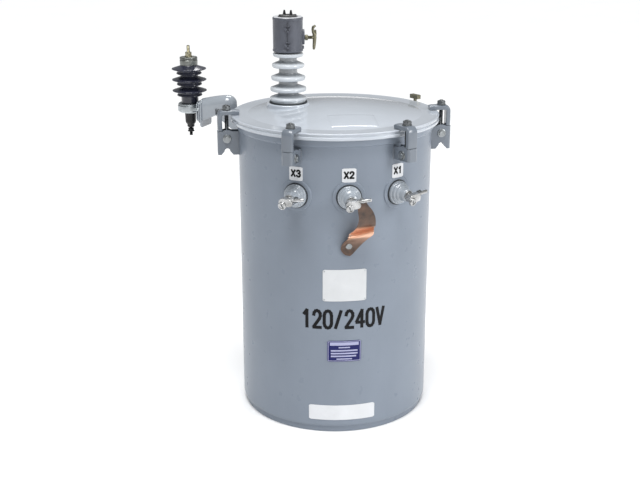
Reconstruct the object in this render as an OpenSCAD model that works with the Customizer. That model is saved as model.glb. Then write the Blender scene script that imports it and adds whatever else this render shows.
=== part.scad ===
// Pole mounted distribution transformer: a round tank on a foot ring, with a clamped cover,
// a high voltage bushing, a surge arrester on a bracket and three low voltage bushings.
// The origin is the centre of the foot, on the floor. The low voltage side faces -Y, and
// the pole side, with the two support lugs, faces +Y. Angles are turned from the low
// voltage side towards +X.

/* [Tank] */
// Outside diameter of the tank wall
tank_d = 560; // [480:10:680]
// Height from the floor to the top of the tank's rim
tank_h = 882; // [800:1:1100]
// Thickness of the wall, bottom and cover sheet
sheet_t = 3; // [2:0.5:5]
// Height of the foot ring below the wall
foot_h = 17; // [12:1:30]
// How far the foot ring stands inside the wall
foot_inset = 6.5; // [5:0.5:10]
// Radial width of the foot ring's sole
foot_t = 5; // [4:0.5:8]
// Radius of the turned-in lower edge of the wall
wall_edge_r = 7; // [5:0.5:9]
// How far the rim bead stands out from the wall
rim_proud = 12; // [8:1:16]
// Height of the rim bead
rim_h = 36; // [24:1:45]

/* [Cover] */
// How far the cover's skirt stands out from the wall
cover_proud = 21; // [18:1:26]
// Height of the cover's skirt
skirt_h = 20; // [16:1:28]
// Depth of the groove between the skirt's two lips
skirt_groove = 2; // [1:0.5:3]
// Height of the skirt's lower lip; the upper one is half as high
lip_h = 9; // [6:0.5:10]
// Thickness of the skirt at its lips
skirt_t = 6; // [5:0.5:7]
// Width of the flat margin that the clamps hold
cover_margin = 46; // [40:1:60]
// Rise of the dome above the margin
dome_rise = 22; // [16:1:30]
// Thickness of the cover gasket
gasket_t = 3; // [2:0.5:5]

/* [Cover clamps] */
// Width of a clamp hook and of its bracket
clamp_w = 32; // [26:1:40]
// Thickness of the hook bar
hook_t = 14; // [10:1:16]
// How far the hook reaches in over the cover from the wall line
hook_reach = 3; // [0:1:10]
// How far the outer face of the hook stands from the wall
hook_out = 61; // [58:1:76]
// Length of the hook's outer leg below the cover
hook_leg = 46; // [38:1:52]
// Outer radius of the hook's bend
hook_bend = 18; // [15:1:19]
// Diameter of the clamp bolts and cross pins
clamp_bolt_d = 12; // [10:1:14]
// Clearance round a clamp bolt or pin, on the radius
bolt_gap = 0.4; // [0.2:0.1:0.8]
// Distance of the cross pin from the wall
pin_out = 34; // [32:1:40]
// Height of the cross pin below the cover's top
pin_drop = 68; // [60:1:76]
// Thickness of a bracket's ears and web
ear_t = 5; // [4:0.5:7]

/* [High voltage bushing] */
// Place of the bushing on the cover, towards +X
hv_x = -131; // [-150:1:-100]
// Place of the bushing on the cover, towards +Y
hv_y = 44; // [0:1:70]
// Radius of the flat seat under the bushing
hv_seat_r = 62; // [58:1:70]
// Radius of the bushing's lowest shed
hv_shed_r = 54; // [48:1:58]
// Height of the porcelain above its gasket
hv_len = 150; // [140:1:180]
// Radius of the bushing's shank through the cover
hv_shank_r = 28; // [22:1:32]
// Height of the cap over the bushing's terminal
hv_cap_h = 97; // [85:1:110]
// Radius of the cap
hv_cap_r = 43.75; // [40:0.25:48]
// Wall of the cap
hv_cap_wall = 3; // [2.5:0.5:4]
// Radius of the cap's upper mouth
hv_mouth_r = 24; // [18:1:28]
// Reach of the terminal's cross bar from the bushing axis
hv_bar_reach = 77; // [66:1:90]
// Length of the terminal's cross bar
hv_bar_len = 77; // [60:1:90]
// Diameter of the terminal's shaft and cross bar
hv_rod_d = 10; // [8:1:12]

/* [Surge arrester] */
// Direction of the arrester round the tank
arrester_angle = -120; // [-125:1:-112]
// Distance of the arrester from the wall
arrester_out = 198; // [170:1:230]
// Height of the arrester's clamp band below the cover's top
arrester_drop = 8; // [0:1:20]
// Height of the arrester's clamp band
band_h = 28; // [22:1:34]
// Radius of the arrester's large sheds
shed_r = 52.5; // [46:0.5:58]
// Spacing of the large sheds
shed_pitch = 33; // [30:1:36]
// Radius of the arrester's core
core_r = 26; // [22:1:30]
// Width of the bracket arm
arm_w = 56; // [48:1:70]
// Depth of the bracket arm at its round end
arm_h = 48; // [44:1:56]
// Sheet of the bracket
arm_t = 4; // [3:0.5:6]

/* [Low voltage bushings] */
// Angle between neighbouring bushings
lv_step = 30; // [26:1:34]
// Depth of the bushings' axes below the rim
lv_drop = 173; // [140:1:200]
// Radius of a bushing's gasket
lv_r = 35.5; // [30:0.5:40]
// Length of a bushing outside the wall
lv_len = 46; // [38:1:56]
// Radius of a bushing's stud
lv_stud_r = 8; // [6:1:10]
// Reach of the whole terminal from the wall
lv_reach = 80; // [70:1:90]

/* [Ground strap] */
// Width of the strap
strap_w = 26; // [18:1:34]
// Thickness of the strap
strap_t = 2; // [1.5:0.5:3]
// Depth of the strap's wall bolt below the rim
strap_drop = 310; // [280:1:340]

/* [Plates] */
// Thickness of the plates and labels on the wall
plate_t = 1.2; // [0.8:0.1:2]
// Width of the rating plate
rating_w = 123; // [100:1:150]
// Height of the rating plate
rating_h = 93; // [70:1:100]
// Depth of the rating plate's top below the rim
rating_drop = 381; // [370:1:400]
// Width of the notice plate
notice_w = 97; // [80:1:120]
// Height of the notice plate
notice_h = 63.5; // [50:0.5:75]
// Height of the notice plate's foot above the floor
notice_z = 225; // [180:1:240]
// Width of the maker's plate
maker_w = 193; // [150:1:220]
// Height of the maker's plate
maker_h = 46; // [36:1:56]
// Height of the maker's plate's foot above the floor
maker_z = 41; // [30:1:60]
// Side of a terminal marker
marker_w = 39; // [30:1:45]
// Height of the terminal markers' centres above the bushings' axes
marker_rise = 61; // [56:1:70]

/* [Support lugs] */
// Spacing of the two support bolts
lug_spacing = 286; // [286:1:600]
// Depth of the upper support bolt below the rim
lug_drop = 190; // [150:1:220]
// Distance of the lugs' bearing face from the wall
lug_out = 58; // [50:1:80]
// Width of a lug's bearing face
lug_w = 80; // [70:1:100]
// Height of a lug
lug_h = 110; // [90:1:130]
// Thickness of the lug plate
lug_t = 8; // [6:1:12]
// Diameter of a support bolt's slot
lug_hole_d = 20; // [18:1:24]
// Length of a support bolt's slot
lug_slot = 36; // [30:1:44]

/* [Hidden] */
$fn = 96;

SLICE = 0.5;
BIG = 2000;
PAINT = "lightslategray";

tank_r = tank_d / 2;
foot_r = tank_r - foot_inset;
wall_z = foot_h + 2;
bottom_z = wall_z + wall_edge_r;
rim_r = tank_r + rim_proud;
cover_r = tank_r + cover_proud;
cover_z = tank_h + gasket_t + sheet_t;
skirt_z = cover_z - skirt_h;
margin_r = cover_r - cover_margin - skirt_t / 2;
dome_r = (margin_r * margin_r + dome_rise * dome_rise) / (2 * dome_rise);
dome_top = cover_z + dome_rise;

side_angles = [-90, 90];
front_angles = [-30, 30];
clamp_angles = concat(side_angles, front_angles);
hook_in_r = tank_r - hook_reach;
hook_r = tank_r + hook_out;
pin_r = tank_r + pin_out;
pin_z = cover_z - pin_drop;
hook_top = cover_z + hook_t;
nut_h = 11;
nut_r = 12;
eye_r = clamp_bolt_d / 2 + bolt_gap + 5;
eye_w = clamp_w - 2 * ear_t - 6;
bracket_r = hook_r + 1;
bracket_z = pin_z - 15;
bracket_top = cover_z - hook_leg - 1;
lug_ear_z = pin_z - 47;
ear_r = 25;
corner_r = 8;
notch_r = 8;
notch_w = 36;
notch_h = 19;

hv_dist = norm([hv_x, hv_y]);
hv_seat_z = cover_z + dome_rise + 1;
hv_gasket_t = 3;
hv_gasket_r = hv_shed_r + 1.5;
hv_z = hv_seat_z + hv_gasket_t;
hv_cap_z = hv_z + hv_len - 5;
hv_top = hv_cap_z + hv_cap_h;
hv_neck_r = 24;
hv_rod_z = hv_cap_z + 38;
hv_prong_h = 22;

arrester_r = tank_r + arrester_out;
band_r = 38;
band_z = cover_z - arrester_drop - band_h;
body_z = band_z + band_h;
core_top = body_z + 4 * shed_pitch - 17;
arm_end_r = cover_r + 19 + arm_w / 2;
arm_top = cover_z + 24;
arm_z = arm_top - arm_h;
arm_len = arrester_r - band_r - 6 - arm_end_r;
arm_fall = 16;
jaw_top = cover_z + 8;
jaw_z = band_z - 40;
leg_z = pin_z - 40;

bond_z = tank_h - rim_h - 10;

lv_z = tank_h - lv_drop;
lv_angles = [lv_step, 0, -lv_step];
strap_z = tank_h - strap_drop;

lug_face_r = tank_r + lug_out;
lug_upper_z = tank_h - lug_drop;
lug_lower_z = lug_upper_z - lug_spacing;

// A place round the tank: +X of the children points out, +Z stays up
module radial(angle) rotate([0, 0, angle - 90]) children();

// A flat outline in radius and height, given a width along the wall
module slab(width) rotate([90, 0, 0]) linear_extrude(width, center = true) children();

// A round bar that points out from the tank
module out_bar(r, from, to) translate([from, 0, 0]) rotate([0, 90, 0]) cylinder(h = to - from, r = r);

module ring(r, wall, z0, z1) translate([0, 0, z0]) difference() {
    cylinder(h = z1 - z0, r = r);
    translate([0, 0, -1]) cylinder(h = z1 - z0 + 2, r = r - wall);
}

// A thin plate that follows the wall, centred on an angle
module wall_plate(angle, width, z, height) {
    sweep = width / (2 * PI * tank_r) * 360;
    rotate([0, 0, angle - 90 - sweep / 2]) rotate_extrude(angle = sweep, $fn = 180)
        translate([tank_r, z]) square([plate_t, height]);
}

module foot_ring() color(PAINT) ring(foot_r, foot_t, 0, bottom_z);

module tank_bottom() color(PAINT)
    translate([0, 0, bottom_z]) cylinder(h = sheet_t, r = tank_r - sheet_t, $fn = 180);

// The wall is rolled sheet whose lower edge turns in to the foot ring
module tank_wall() color(PAINT) rotate_extrude($fn = 180) {
    translate([tank_r - sheet_t, bottom_z]) square([sheet_t, tank_h - rim_h - bottom_z]);
    intersection() {
        translate([tank_r - wall_edge_r, bottom_z]) difference() {
            circle(wall_edge_r, $fn = 48);
            circle(wall_edge_r - sheet_t, $fn = 48);
        }
        translate([tank_r - foot_inset + 0.2, wall_z - 1]) square([foot_inset + 1, wall_edge_r + 1]);
    }
}

module tank_rim() color(PAINT) rotate_extrude($fn = 180) {
    translate([tank_r - sheet_t, tank_h - rim_h]) square([sheet_t, rim_h]);
    translate([tank_r - 16, tank_h - 6]) square([rim_proud + 16, 6]);
    translate([tank_r, tank_h - rim_h + 4]) square([rim_proud - 4, rim_h - 6]);
    translate([rim_r - 9, tank_h - 9]) square([9, 9]);
    translate([tank_r, tank_h - rim_h]) polygon([[0, 0], [rim_proud - 4, 4], [0, 4]]);
}

// Sealed inside the tank: the iron core, the coils and the oil, as one mass
module core_and_oil() color("dimgray")
    translate([0, 0, bottom_z + sheet_t]) cylinder(h = tank_h - bottom_z - 69, r = tank_r - sheet_t - 2);

module cover_gasket() color([0.12, 0.12, 0.13])
    ring(rim_r, rim_r - tank_r + 16, tank_h, tank_h + gasket_t, $fn = 180);

module cover() color([0.82, 0.86, 0.9]) difference() {
    union() {
        rotate_extrude($fn = 180) {
            translate([margin_r, cover_z - sheet_t]) square([cover_r - margin_r - 1, sheet_t]);
            translate([cover_r - skirt_t, skirt_z]) square([skirt_t - skirt_groove, skirt_h - 1]);
            translate([cover_r - skirt_t, skirt_z]) square([skirt_t, lip_h]);
            translate([cover_r - skirt_t, cover_z - lip_h / 2]) square([skirt_t, lip_h / 2]);
            intersection() {
                translate([0, dome_top - dome_r]) difference() {
                    circle(dome_r, $fn = 720);
                    circle(dome_r - sheet_t, $fn = 720);
                }
                translate([0, cover_z - sheet_t]) square([margin_r, dome_rise + sheet_t]);
            }
        }
        translate([hv_x, hv_y, cover_z]) cylinder(h = hv_seat_z - cover_z, r = hv_seat_r);
    }
    translate([hv_x, hv_y, cover_z - 20]) cylinder(h = 60, r = hv_shank_r + bolt_gap);
}

// A C shaped bar: its arm holds the cover's margin and its leg rests outside the bracket
module clamp_hook(angle) radial(angle) difference() {
    slab(clamp_w) {
        translate([hook_in_r, cover_z]) square([hook_r - hook_in_r - hook_bend, hook_t]);
        translate([hook_r - hook_t, cover_z - hook_leg]) square([hook_t, hook_leg + hook_t - hook_bend]);
        translate([hook_r - hook_bend, hook_top - hook_bend]) difference() {
            intersection() {
                circle(hook_bend, $fn = 64);
                square(hook_bend);
            }
            circle(hook_bend - hook_t, $fn = 48);
        }
    }
    translate([pin_r, 0, cover_z - 1]) cylinder(h = hook_t + 2, r = clamp_bolt_d / 2 + bolt_gap);
}

module clamp_hook_left() color(PAINT) clamp_hook(side_angles[0]);
module clamp_hook_right() color(PAINT) clamp_hook(side_angles[1]);
module clamp_hook_front_left() color(PAINT) clamp_hook(front_angles[0]);
module clamp_hook_front_right() color(PAINT) clamp_hook(front_angles[1]);

// The outline of a bracket's ears, seen from the side
module ear_outline(low) difference() {
    union() {
        translate([tank_r - 4, low]) square([bracket_r - tank_r + 4, bracket_top - low]);
        intersection() {
            translate([pin_r, pin_z]) circle(ear_r, $fn = 64);
            translate([tank_r, pin_z]) square([bracket_r - tank_r, ear_r]);
        }
    }
    if (low < bracket_z) translate([pin_r, low]) {
        translate([0, notch_h - notch_r]) circle(notch_r, $fn = 48);
        polygon([
            [-notch_w / 2, -1], [notch_w / 2, -1], [notch_r, notch_h - notch_r], [-notch_r, notch_h - notch_r]
        ]);
    }
}

// A bracket's outline from above, with its two outer corners bent round
module bracket_plan() {
    translate([0, -clamp_w / 2]) square([bracket_r - corner_r, clamp_w]);
    translate([0, corner_r - clamp_w / 2]) square([bracket_r, clamp_w - 2 * corner_r]);
    for (side = [-1, 1]) translate([bracket_r - corner_r, side * (clamp_w / 2 - corner_r)])
        circle(corner_r, $fn = 48);
}

// Two ears from the wall with a web across their outer ends, and a bore for the pin
module clamp_bracket(angle, low) radial(angle) difference() {
    intersection() {
        union() {
            for (side = [-1, 1]) translate([0, side * (clamp_w - ear_t) / 2, 0]) slab(ear_t) ear_outline(low);
            slab(clamp_w) translate([bracket_r - ear_t, bracket_z]) square([ear_t, bracket_top - bracket_z]);
        }
        translate([0, 0, low - 1]) linear_extrude(BIG) bracket_plan();
    }
    translate([0, 0, low - 1]) cylinder(h = BIG, r = tank_r, $fn = 180);
    translate([pin_r, 0, pin_z]) rotate([90, 0, 0])
        cylinder(h = clamp_w + 2, r = clamp_bolt_d / 2 + bolt_gap, center = true);
}

module clamp_bracket_left() color(PAINT) clamp_bracket(side_angles[0], lug_ear_z);
module clamp_bracket_right() color(PAINT) clamp_bracket(side_angles[1], lug_ear_z);
module clamp_bracket_front_left() color(PAINT) clamp_bracket(front_angles[0], bracket_z);
module clamp_bracket_front_right() color(PAINT) clamp_bracket(front_angles[1], bracket_z);

// Eye bolts: the eye turns on the cross pin, and the nut presses on the hook
module clamp_bolts() color([0.5, 0.52, 0.52]) for (angle = clamp_angles) radial(angle) {
    difference() {
        union() {
            translate([pin_r, 0, pin_z + eye_r - 2])
                cylinder(h = hook_top + nut_h + 5 - pin_z - eye_r, r = clamp_bolt_d / 2);
            translate([pin_r, 0, pin_z]) rotate([90, 0, 0]) cylinder(h = eye_w, r = eye_r, center = true);
            translate([pin_r, 0, hook_top]) cylinder(h = 2, r = nut_r + 1.5);
            translate([pin_r, 0, hook_top + 2]) cylinder(h = nut_h - 2, r = nut_r, $fn = 6);
        }
        translate([pin_r, 0, pin_z]) rotate([90, 0, 0])
            cylinder(h = eye_w + 2, r = clamp_bolt_d / 2 + bolt_gap, center = true);
    }
}

module clamp_pins() color([0.55, 0.57, 0.58]) for (angle = clamp_angles) radial(angle)
    translate([pin_r, 0, pin_z]) rotate([90, 0, 0]) {
        cylinder(h = clamp_w + 4, r = clamp_bolt_d / 2, center = true);
        for (side = [-1, 1]) translate([0, 0, side * (clamp_w / 2 + 4)])
            cylinder(h = 8, r = 11, $fn = 6, center = true);
    }

module hv_gasket() color([0.12, 0.12, 0.13]) translate([hv_x, hv_y, 0])
    ring(hv_gasket_r, hv_gasket_r - hv_shank_r, hv_seat_z, hv_z);

// One shed: a thin cone that slopes down to a blunt edge
module shed(z, r, neck, edge, slope) translate([0, 0, z]) {
    cylinder(h = edge, r = r);
    translate([0, 0, edge]) cylinder(h = slope, r1 = r, r2 = neck);
}

module hv_bushing() color([0.66, 0.72, 0.78]) translate([hv_x, hv_y, 0]) {
    translate([0, 0, cover_z - 40]) cylinder(h = hv_z - cover_z + 40, r = hv_shank_r);
    translate([0, 0, hv_z]) cylinder(h = hv_cap_z - hv_z, r1 = hv_neck_r + 5, r2 = hv_neck_r);
    translate([0, 0, hv_cap_z]) cylinder(h = hv_z + hv_len - hv_cap_z, r = hv_neck_r);
    translate([0, 0, hv_z + hv_len]) cylinder(h = 12, r = hv_neck_r - 4);
    shed(hv_z, hv_shed_r, hv_neck_r + 5, 13, 8);
    shed(hv_z + 34, hv_shed_r - 1.5, hv_neck_r + 4, 7, 10);
    shed(hv_z + 66, hv_shed_r - 4, hv_neck_r + 3, 7, 10);
    shed(hv_z + 102, hv_shed_r - 7, hv_neck_r + 2, 7, 10);
    shed(hv_z + 131, hv_shed_r - 10, hv_neck_r + 1, 8, 5);
}

// A moulded cap over the terminal, open at the top and round the bushing's neck
module hv_cap() color([0.39, 0.4, 0.43]) translate([hv_x, hv_y, 0]) difference() {
    union() {
        translate([0, 0, hv_cap_z]) cylinder(h = hv_cap_h - 9, r = hv_cap_r);
        translate([0, 0, hv_top - 9]) cylinder(h = 9, r1 = hv_cap_r, r2 = hv_mouth_r + 8);
        for (side = [-1, 1]) translate([side * (hv_mouth_r + 3), 0, hv_top + hv_prong_h / 2 - 2])
            cube([4, 12, hv_prong_h + 2], center = true);
        translate([0, 0, hv_rod_z]) out_bar(13, hv_cap_r - 4, hv_cap_r + 5);
    }
    translate([0, 0, hv_cap_z + hv_cap_wall])
        cylinder(h = hv_cap_h - 9 - 2 * hv_cap_wall, r = hv_cap_r - hv_cap_wall);
    translate([0, 0, hv_cap_z - 1]) cylinder(h = hv_cap_wall + 2, r = hv_neck_r);
    translate([0, 0, hv_top - 20]) cylinder(h = 50, r = hv_mouth_r);
    translate([0, 0, hv_rod_z]) out_bar(hv_rod_d / 2 + bolt_gap, hv_cap_r - 12, hv_cap_r + 8);
}

// A stud on the bushing, and a shaft through the cap with a cross bar to turn it
module hv_terminal() color([0.38, 0.36, 0.28]) translate([hv_x, hv_y, 0]) {
    translate([0, 0, hv_z + hv_len + 12]) cylinder(h = hv_rod_z - hv_z - hv_len + 6, r = 12);
    translate([0, 0, hv_rod_z]) {
        out_bar(hv_rod_d / 2, 6, hv_bar_reach);
        out_bar(8, hv_cap_r + 6, hv_cap_r + 16);
    }
    translate([hv_bar_reach, 0, hv_rod_z - hv_bar_len / 2]) cylinder(h = hv_bar_len, r = hv_rod_d / 2);
}

module at_arrester() radial(arrester_angle) translate([arrester_r, 0, 0]) children();

module arrester_housing() color([0.22, 0.24, 0.3]) at_arrester() {
    translate([0, 0, body_z]) cylinder(h = core_top - body_z, r = core_r);
    for (i = [0:2]) {
        shed(body_z + 36 + i * shed_pitch, shed_r, core_r, 3, 9);
        shed(body_z + 22 + i * shed_pitch, shed_r - 14, core_r, 3, 7);
    }
}

module arrester_terminal() color([0.7, 0.66, 0.5]) at_arrester() {
    translate([0, 0, core_top]) cylinder(h = 25, r = core_r + 1);
    translate([0, 0, core_top + 25]) cylinder(h = 3, r = 12);
    translate([0, 0, core_top + 28]) cylinder(h = 12, r = 10, $fn = 6);
    translate([0, 0, core_top + 40]) cylinder(h = 19, r = 5);
}

module arrester_band() color([0.6, 0.63, 0.66]) at_arrester()
    ring(band_r, band_r - core_r, band_z, body_z);

module arrester_disconnector() color([0.08, 0.08, 0.09]) at_arrester() {
    translate([0, 0, band_z]) cylinder(h = band_h, r = core_r);
    translate([0, 0, band_z - 36]) cylinder(h = 36, r1 = 15, r2 = 17);
    translate([0, 0, band_z - 48]) cylinder(h = 12, r = 11, $fn = 6);
    translate([0, 0, band_z - 73]) cylinder(h = 25, r = 5);
}

// The arm's solid outline: a half round top that falls towards the arrester, with a domed end
module arm_form(r, low, top) intersection() {
    union() {
        translate([arm_end_r, 0, low]) cylinder(h = 200, r = r, $fn = 64);
        translate([arm_end_r, -r, low]) cube([arm_len, 2 * r, 200]);
    }
    slab(2 * r + 2) polygon([
        [arm_end_r - r - 1, low], [arm_end_r + arm_len, jaw_z + 16 - arm_z + low],
        [arm_end_r + arm_len, top - arm_fall], [arm_end_r - r * 0.3, top],
        [arm_end_r - r * 0.75, top - r * 0.16], [arm_end_r - r - 1, top - r * 0.6]
    ]);
    translate([arm_end_r, 0, top]) rotate([0, 90 + atan2(arm_fall, arm_len), 0])
        translate([0, 0, -2 * r]) linear_extrude(height = arm_len + 4 * r) polygon([
            [-2, -r * 0.3], [-2, r * 0.3], [r * 0.13, r * 0.68], [r * 0.55, r + 0.5], [4 * r, r + 0.5],
            [4 * r, -r - 0.5], [r * 0.55, -r - 0.5], [r * 0.13, -r * 0.68]
        ]);
}

// A hood over a channel, open below, with a foot on the wall and jaws for the band
module arrester_bracket() color(PAINT) radial(arrester_angle) difference() {
    union() {
        difference() {
            arm_form(arm_w / 2, arm_z, arm_top);
            arm_form(arm_w / 2 - arm_t, arm_z - 30, arm_top - arm_t);
        }
        for (side = [-1, 1]) translate([0, side * (arm_w - arm_t) / 2, 0]) slab(arm_t) polygon([
            [tank_r - 6, leg_z], [arm_end_r + 30, jaw_z + 42], [arm_end_r + 30, arm_z + 12],
            [arm_end_r - 8, arm_z + 12], [rim_r + 4, tank_h - rim_h - 3], [tank_r - 6, tank_h - rim_h - 3]
        ]);
        translate([arm_end_r + arm_len, 0, (jaw_z + jaw_top) / 2])
            cube([12, arm_w + 10, jaw_top - jaw_z], center = true);
    }
    translate([0, 0, pin_z - 60]) cylinder(h = BIG, r = tank_r, $fn = 180);
    translate([arrester_r, 0, band_z - 60]) cylinder(h = BIG, r = band_r);
}

module at_lv(angle) radial(angle) translate([0, 0, lv_z]) children();

module lv_gaskets() color([0.13, 0.13, 0.14]) for (angle = lv_angles) at_lv(angle) difference() {
    out_bar(lv_r, tank_r - 6, tank_r + 4);
    translate([0, 0, -lv_r - 1]) cylinder(h = 2 * lv_r + 2, r = tank_r, $fn = 180);
    out_bar(lv_r - 12, tank_r - 8, tank_r + 6);
}

module lv_bushing(angle) color([0.72, 0.75, 0.78]) at_lv(angle) {
    out_bar(lv_r - 3, tank_r + 4, tank_r + 14);
    out_bar(lv_r - 7, tank_r + 14, tank_r + 24);
    translate([tank_r + 24, 0, 0]) rotate([0, 90, 0])
        cylinder(h = lv_len - 24, r1 = lv_r - 10, r2 = lv_r - 16);
}

module lv_bushing_x1() lv_bushing(lv_angles[0]);
module lv_bushing_x2() lv_bushing(lv_angles[1]);
module lv_bushing_x3() lv_bushing(lv_angles[2]);

// A stud, its clamp body and the clamp bolt that stands out to the right
module lv_terminal(angle) color([0.85, 0.86, 0.87]) at_lv(angle) {
    out_bar(lv_stud_r, tank_r + lv_len, tank_r + lv_reach - 10);
    translate([tank_r + lv_reach - 16, 2, 0]) cube([20, 30, 20], center = true);
    out_bar(8, tank_r + lv_reach - 8, tank_r + lv_reach);
    translate([tank_r + lv_reach - 16, 0, 0]) rotate([-90, 0, 0]) cylinder(h = 46, r = 5);
}

module lv_terminal_x1() lv_terminal(lv_angles[0]);
module lv_terminal_x2() lv_terminal(lv_angles[1]);
module lv_terminal_x3() lv_terminal(lv_angles[2]);

// The strap's way from the middle terminal, out to the right and back in to the wall bolt:
// each place is [across, out from the wall, height above the wall bolt, turn of its face]
strap_way = [
    [8, lv_reach - 27, strap_drop - lv_drop - 11, 20],
    [14, lv_reach - 26, strap_drop - lv_drop - 30, 20],
    [24, lv_reach - 28, strap_drop - lv_drop - 55, 20],
    [31, lv_reach - 34, strap_drop - lv_drop - 78, 15],
    [31, lv_reach - 46, strap_drop - lv_drop - 98, 10],
    [22, 18, 24, 5],
    [10, 5, 15, 0],
    [0, 3, 10, 0],
    [-2, 3, -20, 0]
];

module ground_strap() color([0.85, 0.45, 0.25]) radial(0) translate([tank_r, 0, strap_z]) difference() {
    for (i = [0:len(strap_way) - 2]) hull() {
        strap_rung(strap_way[i]);
        strap_rung(strap_way[i + 1]);
    }
    out_bar(5 + bolt_gap, -1, 12);
}

module strap_rung(p) translate([p[1], p[0], p[2]]) rotate([0, 0, p[3]])
    cube([strap_t, strap_w, SLICE], center = true);

module ground_boss() color([0.6, 0.62, 0.63]) radial(0) translate([0, 0, strap_z]) {
    difference() {
        out_bar(11, tank_r - 3, tank_r + 2);
        translate([0, 0, -12]) cylinder(h = 24, r = tank_r, $fn = 180);
    }
    out_bar(5, tank_r + 1, tank_r + 7);
    translate([tank_r + 4, 0, 0]) rotate([0, 90, 0]) cylinder(h = 7, r = 9, $fn = 6);
}

// A bronze bonding clamp on a tab at the rim, behind and to the right
module cover_bond() color([0.5, 0.47, 0.34]) radial(120) {
    translate([tank_r, 0, bond_z]) slab(6) square([36, 8]);
    translate([cover_r + 10, 0, bond_z]) cylinder(h = cover_z + 14 - bond_z, r = 5);
    translate([cover_r + 10, 0, cover_z + 10]) cube([14, 34, 12], center = true);
}

module rating_plate() color("white") wall_plate(-2, rating_w, tank_h - rating_drop - rating_h, rating_h);
module notice_plate() color([0.1, 0.3, 0.65]) wall_plate(-2, notice_w, notice_z, notice_h);
module maker_plate() color("white") wall_plate(-3, maker_w, maker_z, maker_h);
module terminal_markers() color("white") for (angle = lv_angles)
    wall_plate(angle, marker_w, lv_z + marker_rise - marker_w / 2, marker_w);

// A bearing plate on two webs, slotted for the bolt through the pole
module support_lug(z) color(PAINT) radial(180) translate([0, 0, z]) difference() {
    union() {
        translate([lug_face_r - lug_t / 2, 0, 0]) cube([lug_t, lug_w, lug_h], center = true);
        for (side = [-1, 1]) translate([tank_r - 6, side * (lug_w - lug_t) / 2 - lug_t / 2, -lug_h / 2])
            cube([lug_face_r - tank_r + 2, lug_t, lug_h]);
    }
    translate([0, 0, -lug_h]) cylinder(h = 2 * lug_h, r = tank_r, $fn = 180);
    for (end = [-1, 1]) translate([0, 0, end * (lug_slot - lug_hole_d) / 2])
        out_bar(lug_hole_d / 2, lug_face_r - lug_t - 1, lug_face_r + 1);
    translate([lug_face_r - lug_t / 2, 0, 0])
        cube([lug_t + 2, lug_hole_d, lug_slot - lug_hole_d], center = true);
}

module upper_support_lug() support_lug(lug_upper_z);
module lower_support_lug() support_lug(lug_lower_z);

foot_ring();
tank_bottom();
tank_wall();
tank_rim();
core_and_oil();
cover_gasket();
cover();
clamp_hook_left();
clamp_hook_front_left();
clamp_hook_front_right();
clamp_hook_right();
clamp_bracket_left();
clamp_bracket_front_left();
clamp_bracket_front_right();
clamp_bracket_right();
clamp_bolts();
clamp_pins();
hv_gasket();
hv_bushing();
hv_cap();
hv_terminal();
arrester_housing();
arrester_terminal();
arrester_band();
arrester_disconnector();
arrester_bracket();
lv_gaskets();
lv_bushing_x1();
lv_bushing_x2();
lv_bushing_x3();
lv_terminal_x1();
lv_terminal_x2();
lv_terminal_x3();
ground_strap();
ground_boss();
cover_bond();
rating_plate();
notice_plate();
maker_plate();
terminal_markers();
upper_support_lug();
lower_support_lug();
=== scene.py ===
"""Looks of the pole mounted transformer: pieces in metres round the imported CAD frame.

Places come from the CAD nodes' boxes. Angles are turned from the low voltage side (-Y)
towards +X. A profile is a list of (radius, height) or (radius, height, fillet) points.
"""

import math
import random

import bmesh
import bpy
from mathutils import Matrix, Vector


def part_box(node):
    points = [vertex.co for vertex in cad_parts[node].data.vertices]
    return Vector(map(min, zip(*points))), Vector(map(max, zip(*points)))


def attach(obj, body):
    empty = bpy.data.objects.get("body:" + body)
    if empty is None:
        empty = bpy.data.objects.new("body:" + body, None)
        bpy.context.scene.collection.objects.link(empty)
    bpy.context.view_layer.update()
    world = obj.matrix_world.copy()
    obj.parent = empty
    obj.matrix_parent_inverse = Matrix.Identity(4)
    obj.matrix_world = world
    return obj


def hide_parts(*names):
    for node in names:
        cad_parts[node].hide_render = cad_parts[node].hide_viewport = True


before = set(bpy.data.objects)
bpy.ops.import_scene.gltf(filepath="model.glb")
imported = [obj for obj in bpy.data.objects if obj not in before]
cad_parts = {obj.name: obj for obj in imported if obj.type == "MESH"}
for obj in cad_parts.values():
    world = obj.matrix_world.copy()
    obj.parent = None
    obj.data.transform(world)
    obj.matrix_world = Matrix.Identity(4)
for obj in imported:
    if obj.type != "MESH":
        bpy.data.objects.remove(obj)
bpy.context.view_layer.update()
random.seed(7)

MM = 0.001
TANK_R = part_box("tank_wall")[1][0]
WALL_IN = TANK_R - 3 * MM
COVER_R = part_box("cover")[1][0]
RIM_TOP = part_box("tank_rim")[1][2]
SKIRT_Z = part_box("cover")[0][2]
HOOK_T = 14 * MM
PLATE_T = 1.2 * MM
PRINT_T = 0.25 * MM
PITCH = 1.75 * MM
ROUND = 256  # sides of the tank and the cover
CLAMPS = {"left": -90, "front_left": -30, "front_right": 30, "right": 90}
LV_ANGLES = {"x1": 30, "x2": 0, "x3": -30}
ARRESTER_ANGLE = -120
PLATE_ANGLE = -2
Z_TO_X = Matrix.Rotation(math.pi / 2, 4, "Y")
Z_TO_LEFT = Matrix.Rotation(math.pi / 2, 4, "X")  # towards -Y, which is left in an outward frame
PLAN_OUT = Matrix(((0, 0, 1, 0), (1, 0, 0, 0), (0, 1, 0, 0), (0, 0, 0, 1)))  # a plan raised along +X
SKY_COLOUR, SKY_POWER = (0.95, 0.975, 1.0, 1), 0.27
SUN_POWER, SUN_SPREAD, SUN_TILT = 2.9, 34, (14, -6)
FLOOR_HALF = 30


def middle(node):
    """Centre of a CAD node's box."""
    low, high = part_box(node)
    return (Vector(low) + Vector(high)) / 2


def span(node):
    """Lowest and highest Z of a CAD node."""
    low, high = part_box(node)
    return low[2], high[2]


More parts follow.
